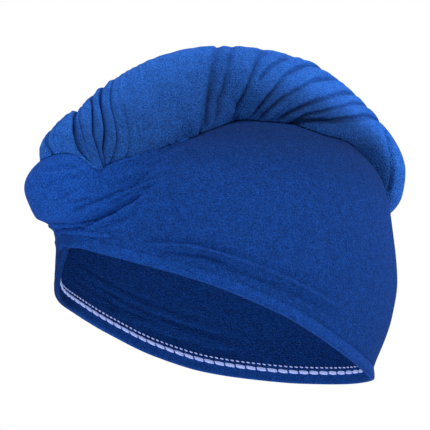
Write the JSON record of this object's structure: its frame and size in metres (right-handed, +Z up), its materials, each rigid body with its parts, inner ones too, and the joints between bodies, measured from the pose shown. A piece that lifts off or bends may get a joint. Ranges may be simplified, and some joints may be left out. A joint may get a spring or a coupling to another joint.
{
  "type": "hair turban towel",
  "caption": "Worn hair turban towel: a hollow cloth hood with a slanted hemmed edge and its tail twisted into a roll from the forehead back over the crown.",
  "frame": {"origin": "inside of the crown, where the top of the head bears", "axes": "-Y is the wearer's front, +X the wearer's left, +Z up"},
  "size_m": [0.164, 0.2648, 0.2085],
  "materials": {
    "hood": "fine looped microfibre, matt, royal blue",
    "hem": "turned microfibre hem, matt, royal blue with white coverstitch inside",
    "twist": "stretched microfibre nap, matt, royal blue",
    "loop": "woven elastic, matt, dark blue"
  },
  "bodies": {
    "root": {"hood": "hood", "hem": "hem", "twist": "twist", "loop": "loop"}
  },
  "joints": []
}
